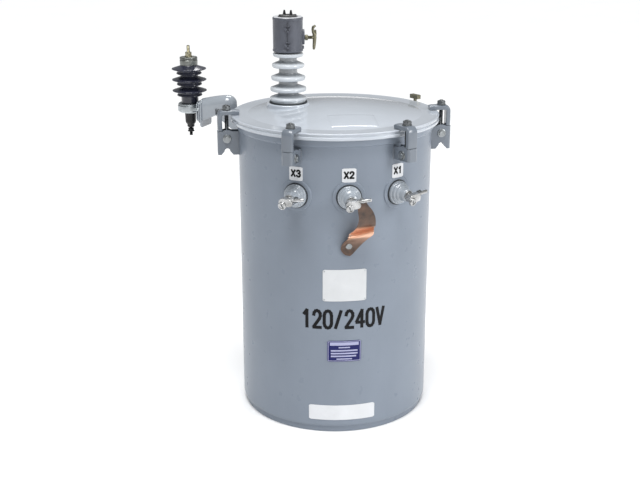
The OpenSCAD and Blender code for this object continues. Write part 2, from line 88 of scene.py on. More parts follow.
def outward(angle, height=0.0):
    """A frame on the tank's axis: +X points out at the angle, +Y to the right, +Z up."""
    return Matrix.Translation((0, 0, height)) @ Matrix.Rotation(math.radians(angle - 90), 4, "Z")


def up(height):
    return Matrix.Translation((0, 0, height))


def mm(points, out=0.0, height=0.0):
    """Points in millimetres, from a place in metres: (radius, height[, fillet])."""
    return [(out + p[0] * MM, height + p[1] * MM, *[f * MM for f in p[2:]]) for p in points]


# ---- materials


class Paint:
    """A small builder for one procedural material."""

    def __init__(self, name, metallic=0.0, coat=0.0, coat_rough=0.1, ior=1.5, specular=0.5):
        self.material = bpy.data.materials.new(name)
        self.material.use_nodes = True
        self.nodes = self.material.node_tree.nodes
        self.links = self.material.node_tree.links
        self.shader = self.nodes["Principled BSDF"]
        self.shader.inputs["Metallic"].default_value = metallic
        self.shader.inputs["Coat Weight"].default_value = coat
        self.shader.inputs["Coat Roughness"].default_value = coat_rough
        self.shader.inputs["IOR"].default_value = ior
        self.shader.inputs["Specular IOR Level"].default_value = specular
        self.place = self.nodes.new("ShaderNodeTexCoord").outputs["Object"]

    def add(self, kind, output, linked, **values):
        """A new node's output, with some sockets linked and others set."""
        node = self.nodes.new("ShaderNode" + kind)
        for socket, value in values.items():
            node.inputs[socket.replace("_", " ")].default_value = value
        for socket, source in linked.items():
            self.links.new(source, node.inputs[socket])
        return node.outputs[output]

    def noise(self, scale, detail=3.0, rough=0.55, stretch=None):
        """Noise in the row's frame, scale in cells a metre."""
        place = self.place
        if stretch:
            place = self.add("Mapping", "Vector", {"Vector": place}, Scale=stretch)
        return self.add("TexNoise", "Fac", {"Vector": place}, Scale=scale, Detail=detail, Roughness=rough)

    def share(self, value, low, high):
        """0 at low to 1 at high."""
        return self.add("MapRange", "Result", {"Value": value}, From_Min=low, From_Max=high)

    def from_axis(self, x, y, near, far):
        """0 within near of the upright line at x, y, to 1 beyond far."""
        flat = self.add("Mapping", "Vector", {"Vector": self.place}, Location=(-x, -y, 0), Scale=(1, 1, 0))
        length = self.nodes.new("ShaderNodeVectorMath")
        length.operation = "LENGTH"
        self.links.new(flat, length.inputs[0])
        return self.share(length.outputs["Value"], near, far)

    def height(self, low, high):
        """0 at the low height to 1 at the high one."""
        return self.share(self.add("SeparateXYZ", "Z", {"Vector": self.place}), low, high)

    def ramp(self, fac, stops):
        """Colours or greys by position: stops are (position, value)."""
        node = self.nodes.new("ShaderNodeValToRGB")
        elements = node.color_ramp.elements
        while len(elements) < len(stops):
            elements.new(0.5)
        for element, (position, value) in zip(elements, stops):
            element.position = position
            colour = value if isinstance(value, tuple) else (value, value, value)
            element.color = (*colour, 1)
        self.links.new(fac, node.inputs["Fac"])
        return node.outputs["Color"]

    def mix(self, fac, one, other):
        """Mixes two colours, each an output or a plain one, by a grey output."""
        node = self.nodes.new("ShaderNodeMix")
        node.data_type = "RGBA"
        self.links.new(fac, node.inputs["Factor"])
        for socket, value in (("A", one), ("B", other)):
            target = [i for i in node.inputs if i.name == socket and i.type == "RGBA"][0]
            if isinstance(value, tuple):
                target.default_value = (*value, 1)
            else:
                self.links.new(value, target)
        return [o for o in node.outputs if o.type == "RGBA"][0]

    def cloud(self, fac, colour, low, high, end=0.7):
        """A colour's own tone, from its low share to its high share by a grey output."""
        return self.ramp(fac, [(0.3, tone(colour, low)), (end, tone(colour, high))])

    def colour(self, output):
        self.links.new(output, self.shader.inputs["Base Color"])

    def rough(self, fac, low, high):
        """Roughness from low to high by a grey output."""
        result = self.add("MapRange", "Result", {"Value": fac}, To_Min=low, To_Max=high)
        self.links.new(result, self.shader.inputs["Roughness"])

    def bump(self, height, strength, distance):
        """The material's bump, with its distance in metres; gives back the finished material."""
        normal = self.add("Bump", "Normal", {"Height": height}, Strength=strength, Distance=distance)
        self.links.new(normal, self.shader.inputs["Normal"])
        return self.material


def tone(colour, share):
    return tuple(c * share for c in colour)


def enamel(name, colour, rough=(0.24, 0.34), coat=0.35, specular=0.5):
    """Sprayed enamel: faint cloudy tone, orange peel and the sheet's slow waviness."""
    p = Paint(name, coat=coat, coat_rough=0.08, specular=specular)
    cloud = p.cloud(p.noise(5, 4), colour, 0.955, 1.04)
    streaks = p.ramp(p.noise(26, 3, 0.5, stretch=(1, 1, 0.16)), [(0.42, 0.0), (0.75, 0.35)])
    p.colour(p.mix(streaks, cloud, tone(colour, 0.93)))
    p.rough(p.noise(30, 3), *rough)
    return p.bump(p.noise(9, 2, stretch=(1, 1, 0.35)), 0.35, 0.0009)


def glaze(name, colour, rough=(0.07, 0.16), core=None):
    """Fired glaze: slow pooling of the tone, a glassy surface and, when an axis is given, painted shade on
    the necks near it.
    """
    p = Paint(name, coat=0.6, coat_rough=0.03, ior=1.55)
    pool_and_neck_shade = p.cloud(p.noise(26, 3), colour, 0.95, 1.04, 0.72)
    if core:
        # painted shade: the tone falls to half within the near radius of the axis, where the necks lie in the
        # sheds' shade
        pool_and_neck_shade = p.mix(p.ramp(p.from_axis(*core), [(0.0, 1.0), (1.0, 0.0)]), pool_and_neck_shade, tone(colour, 0.5))
    p.colour(pool_and_neck_shade)
    p.rough(p.noise(60, 2), *rough)
    return p.bump(p.noise(110, 2), 0.12, 0.0006)


def moulded(name, colour, rough, grain=900, coat=0.0):
    """Moulded plastic or rubber with a fine surface grain and slight flow marks."""
    p = Paint(name, coat=coat, coat_rough=0.2)
    flow = p.cloud(p.noise(24, 5), colour, 0.84, 1.14)
    bloom = p.ramp(p.noise(180, 3, 0.7), [(0.55, 0.0), (0.8, 0.3)])
    p.colour(p.mix(bloom, flow, tone(colour, 1.35)))
    p.rough(p.noise(90, 3), *rough)
    return p.bump(p.noise(grain, 2, 0.6), 0.25, 0.0003)


def metal(name, colour, stain, rough, amount=(0.45, 0.75), bump=0.2, metallic=1.0):
    """Bare or plated metal: a stain in patches, uneven gloss and a cast grain."""
    p = Paint(name, metallic=metallic)
    base = p.cloud(p.noise(55, 4), colour, 0.88, 1.06)
    patches = p.ramp(p.noise(38, 6, 0.68), [(amount[0], 0.0), (amount[1], 1.0)])
    p.colour(p.mix(patches, base, stain))
    p.rough(p.noise(75, 4, 0.65), *rough)
    return p.bump(p.noise(420, 3, 0.6), bump, 0.00035)


def copper_sheet(foot):
    """Rolled copper: its bright grain only in a band at the fold, as a painted highlight, with painted shade
    above and below it, by height.
    """
    bright, pale = (0.80, 0.42, 0.26), (0.92, 0.56, 0.39)
    # dark and brown: the tones of the painted shade above and below the fold
    dark, brown = (0.045, 0.036, 0.032), (0.14, 0.085, 0.06)
    p = Paint("copper_sheet", metallic=0.45)
    grain = p.ramp(p.noise(60, 4, stretch=(0.3, 1, 1)), [(0.3, bright), (0.7, pale)])
    # painted light by height: 1 lays on the painted shade, 0 leaves the bright copper as the painted
    # highlight at the fold
    painted_light_by_height = p.ramp(p.height(foot - 30 * MM, foot + 90 * MM), [
        (0.0, 1.0), (0.25, 0.95), (0.4, 0.8), (0.49, 0.55), (0.53, 0.0), (0.7, 0.0), (0.78, 0.95), (1.0, 1.0),
    ])
    # the painted shade's tone, mottled from dark to brown
    stain = p.ramp(p.noise(45, 5, 0.65), [(0.3, dark), (0.7, brown)])
    p.colour(p.mix(painted_light_by_height, grain, stain))
    p.rough(p.noise(80, 3), 0.24, 0.42)
    return p.bump(p.noise(300, 3, stretch=(0.2, 1, 1)), 0.2, 0.0003)


def print_film(name, colour, rough=(0.26, 0.4), coat=0.2, specular=0.5):
    """A printed label's film: almost even, with faint mottle and lifted edges' waviness."""
    p = Paint(name, coat=coat, coat_rough=0.12, specular=specular)
    mottle = p.cloud(p.noise(24, 3), colour, 0.96, 1.03)
    scuff = p.ramp(p.noise(40, 4, 0.6), [(0.6, 0.0), (0.8, 0.25)])
    p.colour(p.mix(scuff, mottle, tone(colour, 0.86)))
    p.rough(p.noise(45, 3), *rough)
    return p.bump(p.noise(70, 2), 0.25, 0.0002)


TANK_PAINT = enamel("tank_enamel", (0.234, 0.270, 0.324), coat=0.0, specular=0.25)
# painted light: the cover's enamel is a lighter copy of the tank's, for the light falling on its top
LIT_COVER_PAINT = enamel("cover_enamel_painted_light", (0.52, 0.56, 0.615), rough=(0.12, 0.18), coat=0.8)
# painted light: the arm's enamel is a lighter copy of the tank's, for the light falling on its domed top
LIT_ARM_PAINT = enamel("arm_enamel_painted_light", (0.36, 0.395, 0.435), rough=(0.14, 0.22), coat=0.8)
HARDWARE_PAINT = enamel("hardware_enamel", (0.165, 0.19, 0.225), rough=(0.24, 0.36), coat=0.5)
# the axis and the near and far radii of the painted shade on the porcelain's necks
HV_NECK_SHADE = (*middle("hv_gasket")[:2], 0.030, 0.044)
PORCELAIN = glaze("blue_grey_glaze", (0.62, 0.655, 0.69), core=HV_NECK_SHADE)
LV_GLAZE = glaze("light_grey_glaze", (0.34, 0.375, 0.415), rough=(0.12, 0.22))
GASKET = moulded("gasket_rubber", (0.022, 0.027, 0.032), (0.5, 0.7))
CAP_PLASTIC = moulded("cap_plastic", (0.088, 0.095, 0.118), (0.32, 0.46), coat=0.1)
# a pale plastic used only as the painted highlight on the cap's top
CAP_TOP_HIGHLIGHT = moulded("cap_top_painted_highlight", (0.66, 0.67, 0.70), (0.2, 0.32), coat=0.3)
POLYMER = moulded("arrester_polymer", (0.022, 0.024, 0.042), (0.16, 0.28), grain=500, coat=0.5)
BLACK_PLASTIC = moulded("black_plastic", (0.008, 0.008, 0.009), (0.38, 0.52))
BRONZE = metal("dull_bronze", (0.25, 0.235, 0.165), (0.10, 0.10, 0.075), (0.34, 0.52))
BRASS = metal("plated_brass", (0.48, 0.46, 0.34), (0.34, 0.26, 0.12), (0.24, 0.4))
ZINC = metal("zinc_steel", (0.36, 0.38, 0.39), (0.20, 0.21, 0.21), (0.26, 0.42))
DARK_STEEL = metal("dark_plated_steel", (0.26, 0.27, 0.255), (0.15, 0.155, 0.14), (0.3, 0.46))
BAND_STEEL = metal("band_steel", (0.56, 0.60, 0.62), (0.36, 0.38, 0.39), (0.26, 0.4))
BOLT_STEEL = metal("dark_bolt_steel", (0.17, 0.18, 0.185), (0.09, 0.095, 0.1), (0.26, 0.4), metallic=0.8)
TIN_WEAR = {"amount": (0.42, 0.68), "bump": 0.3, "metallic": 0.75}
TIN = metal("tinned_casting", (0.58, 0.585, 0.59), (0.25, 0.25, 0.24), (0.18, 0.32), **TIN_WEAR)
COPPER = copper_sheet(middle("ground_boss").z)
WHITE_FILM = print_film("white_label", (0.72, 0.735, 0.76))
PLATE_FILM = print_film("rating_plate_film", (0.66, 0.675, 0.69))
BLUE_FILM = print_film("blue_label", (0.008, 0.01, 0.10), (0.4, 0.55), coat=0.0, specular=0.3)
PRINT_GREY = print_film("pale_print", (0.40, 0.41, 0.60), coat=0.0)
INK = print_film("black_ink", (0.006, 0.006, 0.007), rough=(0.5, 0.65), coat=0.0, specular=0.2)


# ---- mesh helpers


def arc_corner(before, corner, after, radius, steps):
    """Points of a fillet at a profile's corner."""
    a, b, c = Vector(before), Vector(corner), Vector(after)
    u, v = (a - b).normalized(), (c - b).normalized()
    angle = u.angle(v)
    reach = min(radius / math.tan(angle / 2), 0.49 * (a - b).length, 0.49 * (c - b).length)
    radius = reach * math.tan(angle / 2)
    centre = b + (u + v).normalized() * radius / math.sin(angle / 2)
    start, end = b + u * reach - centre, b + v * reach - centre
    turn = start.angle_signed(end)
    points = []
    for i in range(steps + 1):
        t = -turn * i / steps
        x = start.x * math.cos(t) - start.y * math.sin(t)
        y = start.x * math.sin(t) + start.y * math.cos(t)
        points.append((centre.x + x, centre.y + y))
    return points


def rounded(profile, steps=5, closed=False):
    """A profile of (radius, height[, fillet]) points with its fillets turned into arcs."""
    points, count = [], len(profile)
    for i, point in enumerate(profile):
        fillet = point[2] if len(point) > 2 else 0
        if fillet and (closed or 0 < i < count - 1):
            before, after = profile[i - 1][:2], profile[(i + 1) % count][:2]
            points += arc_corner(before, point[:2], after, fillet, steps)
        else:
            points.append(tuple(point[:2]))
    return points


def lathe(bm, profile, segments=64, at=Matrix(), closed=False):
    """Turns a profile round the frame's Z. Radius 0 becomes a pole."""
    rings = []
    for r, z in profile:
        if r < 1e-7:
            rings.append([bm.verts.new(at @ Vector((0, 0, z)))])
            continue
        turn = [2 * math.pi * i / segments for i in range(segments)]
        rings.append([bm.verts.new(at @ Vector((r * math.cos(t), r * math.sin(t), z))) for t in turn])
    pairs = list(zip(rings, rings[1:])) + ([(rings[-1], rings[0])] if closed else [])
    for one, other in pairs:
        for i in range(segments):
            j = (i + 1) % segments
            face = [one[i % len(one)], one[j % len(one)], other[j % len(other)], other[i % len(other)]]
            face = list(dict.fromkeys(face))
            if len(face) > 2:
                bm.faces.new(face)


def hoop(bm, profile, segments, at=Matrix()):
    """A closed section turned round the frame's Z."""
    lathe(bm, rounded(profile, 4, True), segments, at, closed=True)


def skin(bm, rings):
    """Joins rings of points one after another and caps both ends."""
    for one, other in zip(rings, rings[1:]):
        for i in range(len(one)):
            j = (i + 1) % len(one)
            bm.faces.new([one[i], one[j], other[j], other[i]])
    bm.faces.new(rings[0][::-1])
    bm.faces.new(rings[-1])


def sheet_metal(bm, front, back):
    """Two grids of points, one behind the other, closed round their edges."""
    last = len(front[0]) - 1
    for i in range(len(front) - 1):
        for k in range(last):
            bm.faces.new([front[i][k], front[i][k + 1], front[i + 1][k + 1], front[i + 1][k]])
            bm.faces.new([back[i][k + 1], back[i][k], back[i + 1][k], back[i + 1][k + 1]])
        for k in (0, last):
            bm.faces.new([front[i][k], front[i + 1][k], back[i + 1][k], back[i][k]])
    for i in (0, len(front) - 1):
        for k in range(last):
            bm.faces.new([front[i][k], front[i][k + 1], back[i][k + 1], back[i][k]])


def tube(bm, points, radii, sides, at=Matrix()):
    """A round bar along points, with a radius for each, closed at its ends."""
    points = [Vector(p) for p in points]
    ends = [(points[max(i - 1, 0)], points[min(i + 1, len(points) - 1)]) for i in range(len(points))]
    along = [(after - before).normalized() for before, after in ends]
    side = along[0].orthogonal().normalized()
    turn = [2 * math.pi * i / sides for i in range(sides)]
    rings = []
    for p, d, r in zip(points, along, radii):
        side = (side - d * side.dot(d)).normalized()
        over = d.cross(side)
        rings.append([bm.verts.new(at @ (p + (side * math.cos(t) + over * math.sin(t)) * r)) for t in turn])
    skin(bm, rings)


def prism(bm, outline, low, high, at=Matrix()):
    """A flat outline in the frame's XY, raised from low to high."""
    skin(bm, [[bm.verts.new(at @ Vector((x, y, z))) for x, y in outline] for z in (low, high)])


def block(bm, low, high, at=Matrix()):
    (x0, y0, z0), (x1, y1, z1) = low, high
    prism(bm, [(x0, y0), (x1, y0), (x1, y1), (x0, y1)], z0, z1, at)


def nut(bm, across, height, at=Matrix(), washer=True):
    """A hexagon with chamfered corners, with or without a washer, standing on the frame's XY."""
    base, corner = 0.0, across / math.sqrt(3)
    if washer:
        base, wide = 1.6 * MM, across * 0.62
        lathe(bm, rounded([(0, 0), (wide, 0, 0.5 * MM), (wide, base, 0.5 * MM), (0, base)]), 28, at)
    turn = [math.radians(10 * i) for i in range(36)]
    flats = [across / 2 / math.cos((t + math.pi / 6) % (math.pi / 3) - math.pi / 6) for t in turn]
    rings = []
    for share, rise in ((0.93, 0.0), (1.0, 0.08), (1.0, 0.84), (0.88, 1.0)):
        z = base + rise * height
        radii = [min(flat, corner * share) for flat in flats]
        ring = [Vector((r * math.cos(t), r * math.sin(t), z)) for r, t in zip(radii, turn)]
        rings.append([bm.verts.new(at @ point) for point in ring])
    skin(bm, rings)


def screw(bm, radius, low, high, at=Matrix()):
    """A threaded bar along the frame's Z, as close rings with a chamfered tip."""
    profile = [(0, low)]
    z = low
    while z < high - PITCH:
        profile += [(radius, z), (radius * 0.86, z + PITCH / 2)]
        z += PITCH
    profile += [(radius * 0.8, high), (0, high)]
    lathe(bm, profile, 20, at)


def bead(bm, points, radius, at=Matrix(), closed=False):
    """A weld bead: a bar whose thickness ripples along its length."""
    if closed:
        points = points + points[:1]
    tube(bm, points, [radius * (0.85 + 0.3 * random.random()) for _ in points], 8, at)


def cheek_welds(bm, middle_y, offset, proud, heights, count, radius, at):
    """Weld beads up both faces of a bracket's two cheeks, where they meet the wall."""
    low, high = heights
    for side in (-1, 1):
        for edge in (-1, 1):
            y = side * middle_y + edge * offset
            x = math.sqrt(TANK_R**2 - y**2) + proud
            bead(bm, [(x, y, low + (high - low) * i / count) for i in range(count + 1)], radius, at)


def finish_mesh(name, bm, material, replaced=(), bevel=0.0, sharp=35):
    """Turns a bmesh into a piece that rides on the body."""
    bmesh.ops.remove_doubles(bm, verts=bm.verts, dist=1e-7)
    bmesh.ops.recalc_face_normals(bm, faces=bm.faces)
    mesh = bpy.data.meshes.new(name)
    bm.to_mesh(mesh)
    bm.free()
    piece = bpy.data.objects.new(name, mesh)
    bpy.context.scene.collection.objects.link(piece)
    mesh.materials.append(material)
    mesh.shade_smooth()
    mesh.set_sharp_from_angle(angle=math.radians(sharp))
    if bevel:
        edge = piece.modifiers.new("edges", "BEVEL")
        edge.width = bevel
        edge.segments = 3
        edge.limit_method = "ANGLE"
        edge.angle_limit = math.radians(32)
        edge.harden_normals = True
    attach(piece, "root")
    if replaced:
        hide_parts(*replaced)
    return piece


def from_cad(node, material, bevel):
    """The CAD node's own shape with merged flats and eased edges."""
    bm = bmesh.new()
    bm.from_mesh(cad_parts[node].data)
    bmesh.ops.remove_doubles(bm, verts=bm.verts, dist=1e-6)
    bmesh.ops.dissolve_limit(bm, angle_limit=math.radians(0.5), verts=bm.verts, edges=bm.edges)
    return finish_mesh(node + "_eased", bm, material, (node,), bevel)


# ---- tank and cover


def tank():
    """The wall, the foot band with its weld, and the rim bead."""
    low, high = span("tank_wall")
    bm = bmesh.new()
    profile = mm([(-6, 0), (-1.5, 1, 4), (0, 8, 3)], TANK_R, low)
    hoop(bm, profile + [(TANK_R, high), (WALL_IN, high), (WALL_IN, low + 9 * MM)], ROUND)
    finish_mesh("tank_shell", bm, TANK_PAINT, ("tank_wall",), sharp=50)

    bm = bmesh.new()
    foot_r, foot_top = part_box("foot_ring")[1][0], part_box("foot_ring")[1][2]
    profile = mm([(-5, 0), (-1, 0, 1), (0, 6, 2)], foot_r) + mm([(-0.5, 0), (-5, 0)], foot_r, foot_top)
    hoop(bm, profile, ROUND)
    finish_mesh("foot_band", bm, TANK_PAINT, ("foot_ring",))

    bm = bmesh.new()
    count = 300
    ring = [2 * math.pi * i / count for i in range(count)]
    seam_r, seam_z = TANK_R - 6.5 * MM, low - 0.5 * MM
    bead(bm, [(seam_r * math.cos(t), seam_r * math.sin(t), seam_z) for t in ring], 1.3 * MM, closed=True)
    finish_mesh("foot_weld", bm, TANK_PAINT)

    bm = bmesh.new()
    low, high = span("tank_rim")
    rim_r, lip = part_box("tank_rim")[1][0], TANK_R - 16 * MM
    profile = mm([(0, 0), (6, 5, 4)], TANK_R, low) + mm([(8, -14, 3)], TANK_R, high)
    profile += mm([(0, -9, 2), (0, 0, 1.5)], rim_r, high) + mm([(0, 0), (0, -6)], lip, high)
    hoop(bm, profile + [(WALL_IN, high - 6 * MM), (WALL_IN, low)], ROUND)
    finish_mesh("rim_bead", bm, TANK_PAINT, ("tank_rim",))


def cover():
    """The domed pressing with its margin and rolled skirt, a blank raised panel and the seal."""
    bm = bmesh.new()
    top = span("clamp_hook_left")[1] - HOOK_T
    rise, sheet, rings = 22 * MM, 3 * MM, 14
    margin = COVER_R - 49 * MM
    dome_r = (margin**2 + rise**2) / (2 * rise)

    def dome(r, below=0.0):
        return top + rise - dome_r + math.sqrt(dome_r**2 - r**2) - below

    radii = [margin * i / rings for i in range(rings)]
    outer = [(r, dome(r)) for r in radii]
    inner = [(r, dome(r, sheet)) for r in reversed(radii)]
    edge = [(margin, top, 8 * MM)]
    edge += mm([(-12, -0.4, 3), (-3, 0, 2.5), (0, -2, 2), (-0.5, -3.5, 1), (-3.2, -5.5, 1.5)], COVER_R, top)
    edge += mm([(-3.2, 10.5, 1.5), (0, 8.5, 2), (0, 2, 2), (-3, 0, 1), (-6, 0)], COVER_R, SKIRT_Z)
    edge += [(COVER_R - 6 * MM, top - sheet), (margin, top - sheet)]
    lathe(bm, rounded(outer + edge + inner), ROUND)
    seat = span("hv_gasket")[0]
    profile = [(0, top), (64 * MM, top), (62 * MM, seat, 3.5 * MM), (0, seat)]
    lathe(bm, rounded(profile), 96, Matrix.Translation((*middle("hv_gasket")[:2], 0)))
    finish_mesh("cover_pressing", bm, LIT_COVER_PAINT, ("cover",), sharp=60)

    bm = bmesh.new()
    centre = Vector((25 * MM, -179 * MM))
    half, steps = Vector((68 * MM, 52 * MM)), 12
    sunk, proud = -0.6 * MM, 1.2 * MM
    grid = []
    for i in range(-steps, steps + 1):
        row = []
        for j in range(-steps, steps + 1):
            x, y = centre.x + i / steps * half.x, centre.y + j / steps * half.y
            r = math.hypot(x, y)
            z = dome(r) if r < margin - 4 * MM else top
            row.append(bm.verts.new((x, y, z + (sunk if steps in (abs(i), abs(j)) else proud))))
        grid.append(row)
    for i in range(2 * steps):
        for j in range(2 * steps):
            bm.faces.new([grid[i][j], grid[i + 1][j], grid[i + 1][j + 1], grid[i][j + 1]])
    finish_mesh("cover_blank_panel", bm, LIT_COVER_PAINT, sharp=70)

    bm = bmesh.new()
    low, high = span("cover_gasket")
    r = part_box("cover_gasket")[1][0]
    hoop(bm, mm([(-28, 0), (0, 0, 1)], r, low) + mm([(0, 0, 1), (-28, 0)], r, high), 192)
    finish_mesh("cover_seal", bm, GASKET, ("cover_gasket",))


def hook(name, angle):
    """A forged bar bent to a C, with a crowned back and a toe that presses on the cover."""
    low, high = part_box("clamp_hook_left")
    out, toe = -low[0] - HOOK_T / 2, -high[0]
    top, foot, bend = high[2] - HOOK_T / 2, low[2], 11 * MM
    path = mm([(1, -1.5), (9, 0), (24, 0.4)], toe, top) + [(out - bend - 6 * MM, top)]
    for i in range(9):
        t = math.pi / 2 * i / 8
        path.append((out - bend + bend * math.sin(t), top - bend + bend * math.cos(t)))
    path += [(out, top - bend - 8 * MM), (out + 0.4 * MM, (top + foot) / 2)]
    path += mm([(0, 6), (-0.5, 0)], out, foot)
    section = [
        (-16, -5.5), (-14.5, -7), (14.5, -7), (16, -5.5), (16, 3), (14.5, 5), (8, 6.6), (2.5, 7), (-2.5, 7),
        (-8, 6.6), (-14.5, 5), (-16, 3),
    ]
    bm = bmesh.new()
    at = outward(angle)
    rings = []
    for i, (r, z) in enumerate(path):
        before, after = path[max(i - 1, 0)], path[min(i + 1, len(path) - 1)]
        along = Vector((after[0] - before[0], 0, after[1] - before[1])).normalized()
        face = Vector((-along.z, 0, along.x))
        rings.append([bm.verts.new(at @ (Vector((r, y * MM, z)) + face * h * MM)) for y, h in section])
    skin(bm, rings)
    finish_mesh("hook_" + name, bm, HARDWARE_PAINT, ("clamp_hook_" + name,), 1.2 * MM, sharp=50)


def clamps():
    """Each clamp: a hook, its bracket, an eye bolt down to a cross pin, and the bracket's welds."""
    bolts, pins, welds = bmesh.new(), bmesh.new(), bmesh.new()
    pin_z = middle("clamp_pins").z
    pin_r = -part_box("clamp_bolts")[0][0] - 13.5 * MM
    hook_top, bolt_top = span("clamp_hook_left")[1], span("clamp_bolts")[1]
    eye = mm([(6.4, -8), (11, -8, 2), (11, 8, 2), (6.4, 8)])
    bar = mm([(0, -18), (6, -18), (6, 18), (0, 18)])
    washer = rounded(mm([(0, 16.2), (12.5, 16.2), (12.5, 17.6, 0.7), (10.5, 18.4, 0.6), (0, 18.4)]))
    for name, angle in CLAMPS.items():
        hook(name, angle)
        from_cad("clamp_bracket_" + name, HARDWARE_PAINT, 1.1 * MM)
        at = outward(angle)
        stand = at @ Matrix.Translation((pin_r, 0, 0))
        screw(bolts, 6 * MM, pin_z + 8 * MM, bolt_top, stand)
        nut(bolts, 21.5 * MM, 9.5 * MM, stand @ up(hook_top))
        across = stand @ up(pin_z) @ Z_TO_LEFT
        hoop(bolts, eye, 32, across)
        lathe(pins, bar, 24, across)
        for side in (-1, 1):
            end = across @ Matrix.Rotation(math.pi / 2 * (1 - side), 4, "X")
            lathe(pins, washer, 40, end)
            nut(pins, 15 * MM, 5 * MM, end @ up(18.2 * MM), False)
        low, high = span("clamp_bracket_" + name)
        cheek_welds(welds, 13.5 * MM, 3 * MM, 0.4 * MM, (low, high - 8 * MM), 14, 2 * MM, at)
    finish_mesh("clamp_eye_bolts", bolts, BOLT_STEEL, ("clamp_bolts",))
    finish_mesh("clamp_cross_pins", pins, ZINC, ("clamp_pins",))
    finish_mesh("bracket_welds", welds, HARDWARE_PAINT)


# ---- high voltage side


def hv_side():
    """The gasket and the porcelain with its sheds, then the cap and the terminal."""
    x, y = middle("hv_gasket")[:2]
    at = Matrix.Translation((x, y, 0))
    seat, z0 = span("hv_gasket")
    r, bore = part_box("hv_gasket")[1][0] - x, 28 * MM
    bm = bmesh.new()
    hoop(bm, [(bore, seat), (r, seat, 1.2 * MM), (r, z0, 1.2 * MM), (bore, z0)], 96, at)
    finish_mesh("hv_seal", bm, GASKET, ("hv_gasket",))

    bm = bmesh.new()
    # each shed: its height, rim radius, neck radius above it and the fall of its top
    sheds = [(0, 54, 29, 9), (34, 52.5, 27.5, 9), (66, 50, 26.5, 9), (102, 47, 25.5, 9), (133, 44, 25, 4)]
    profile = [(0, -60), (27.5, -60), (27.5, 0), (50, 0, 1)]
    for i, (z, rim, neck, fall) in enumerate(sheds):
        if i == 0:
            profile += [(51.5, z + 4, 1), (50.5, z + 5, 0.6), (rim, z + 7, 2.5)]
        else:
            profile += [(neck + 1.5, z, 3), (rim - 7, z - 3, 2), (rim, z - 2, 4)]
        crown = z + (7 if i else 13)
        profile += [(rim, crown, 4), (neck, crown + fall, 5)]
    profile += [(23.5, 148, 2), (20, 160, 2), (0, 160)]
    lathe(bm, rounded(mm(profile, 0, z0)), 96, at)
    finish_mesh("hv_porcelain", bm, PORCELAIN, ("hv_bushing",), sharp=55)
    hv_cap(at)
    hv_terminal(at)


def hv_cap(at):
    """A moulded cap in two halves, with a pale ring on its top as a painted highlight, and a split collar in
    its mouth.
    """
    low, high = span("hv_cap")
    top, r, mouth = high - 20 * MM, 43.75 * MM, 28 * MM
    bm = bmesh.new()
    profile = [(25 * MM, low)] + mm([(0, 0, 2.5), (0, 6, 1), (-1.2, 7.2, 1)], r, low)
    profile += mm([(-0.8, -9, 1), (0, -7.5, 0.8), (-0.3, -2, 1.6), (-2.5, 0, 1)], r, top)
    profile += mm([(0, -1.5), (0, -12)], mouth, top) + mm([(-3, -12)], r, top)
    hoop(bm, profile + mm([(-3, 3)], r, low) + mm([(25, 3)], 0, low), 96, at)
    # the halves meet on ribs at the front and the back, held by pairs of latches
    wings = ((1, ((1, 1), (8.5, 7), (9.5, 2), (5, -3.5))), (-1, ((1, 1), (9, 5.5), (10, 1), (4.5, -6))))
    for angle in (-6, 174):
        face = at @ outward(angle)
        for rib in (-1.7 * MM, 1.7 * MM):
            corner = (r + 1.1 * MM, rib + 0.6 * MM, top - 10 * MM)
            block(bm, (r - 2 * MM, rib - 0.6 * MM, low + 8 * MM), corner, face)
        flat = face @ PLAN_OUT
        for z in (low + 21 * MM, low + 67 * MM):
            for sign, wing in wings:
                outline = mm([(sign * a, b) for a, b in wing], 0, z)
                prism(bm, outline[::sign], r - 2.5 * MM, r + 4.2 * MM, flat)
            prism(bm, mm([(-4, -9), (4, -9), (2.2, -3), (-2.2, -3)], 0, z), r - 2 * MM, r + 3.2 * MM, flat)
            prism(bm, mm([(-5, 8), (5, 8), (5, 10.5), (-5, 10.5)], 0, z), r - 2 * MM, r + 2.2 * MM, flat)
    # a tall boss at the side for the terminal's shaft, and a hinge below it
    oval = []
    for centre, start in ((13, 0), (-9, 180)):
        turn = [math.radians(start + 18 * i) for i in range(11)]
        oval += [(11 * math.cos(t), centre + 11 * math.sin(t)) for t in turn]
    prism(bm, mm(oval, 0, middle("hv_terminal").z), r - 6 * MM, r + 3.6 * MM, at @ PLAN_OUT)
    block(bm, (r - 5 * MM, -9 * MM, low + 7 * MM), (r + 2 * MM, 9 * MM, low + 15 * MM), at)
    finish_mesh("hv_cap_moulding", bm, CAP_PLASTIC, ("hv_cap",), bevel=0.6 * MM, sharp=40)

    # painted highlight: a pale ring laid on the cap's dark top, for the light falling on it
    bm = bmesh.new()
    ring = mm([(28.4, -3)], 0, top) + mm([(-2.2, -3), (-1.6, -0.4, 0.6), (-2.6, 0.7, 0.6)], r, top)
    hoop(bm, ring + mm([(29.5, 0.5, 0.8), (28.4, -0.6, 0.5)], 0, top), 96, at)
    finish_mesh("hv_cap_top_highlight_ring", bm, CAP_TOP_HIGHLIGHT)

    # the dark collar in the mouth, split across, with the lead's two prongs
    bm = bmesh.new()
    collar = [(9, -10), (28.2, -10), (28.2, 1.5, 1.5), (23, 4.5, 3), (13, 6.5, 2), (9, 5.5, 1)]
    hoop(bm, mm(collar, 0, top), 64, at)
    for side in (-1, 1):
        lug = side * 18 * MM
        block(bm, (lug - 7 * MM, -1.5 * MM, top + 1 * MM), (lug + 7 * MM, 1.5 * MM, top + 6.5 * MM), at)
        prong = at @ Matrix.Translation((side * 9 * MM, -4 * MM * side, top + 4 * MM)) @ Z_TO_LEFT
        prism(bm, mm([(-5, 0), (5, 0), (2.2, 14.5), (-2.2, 14.5)]), -1.6 * MM, 1.6 * MM, prong)
    lathe(bm, mm([(0, -6), (10, -6), (10, -4), (0, -4)], 0, top), 32, at)
    finish_mesh("hv_cap_collar", bm, BLACK_PLASTIC, bevel=0.4 * MM, sharp=40)


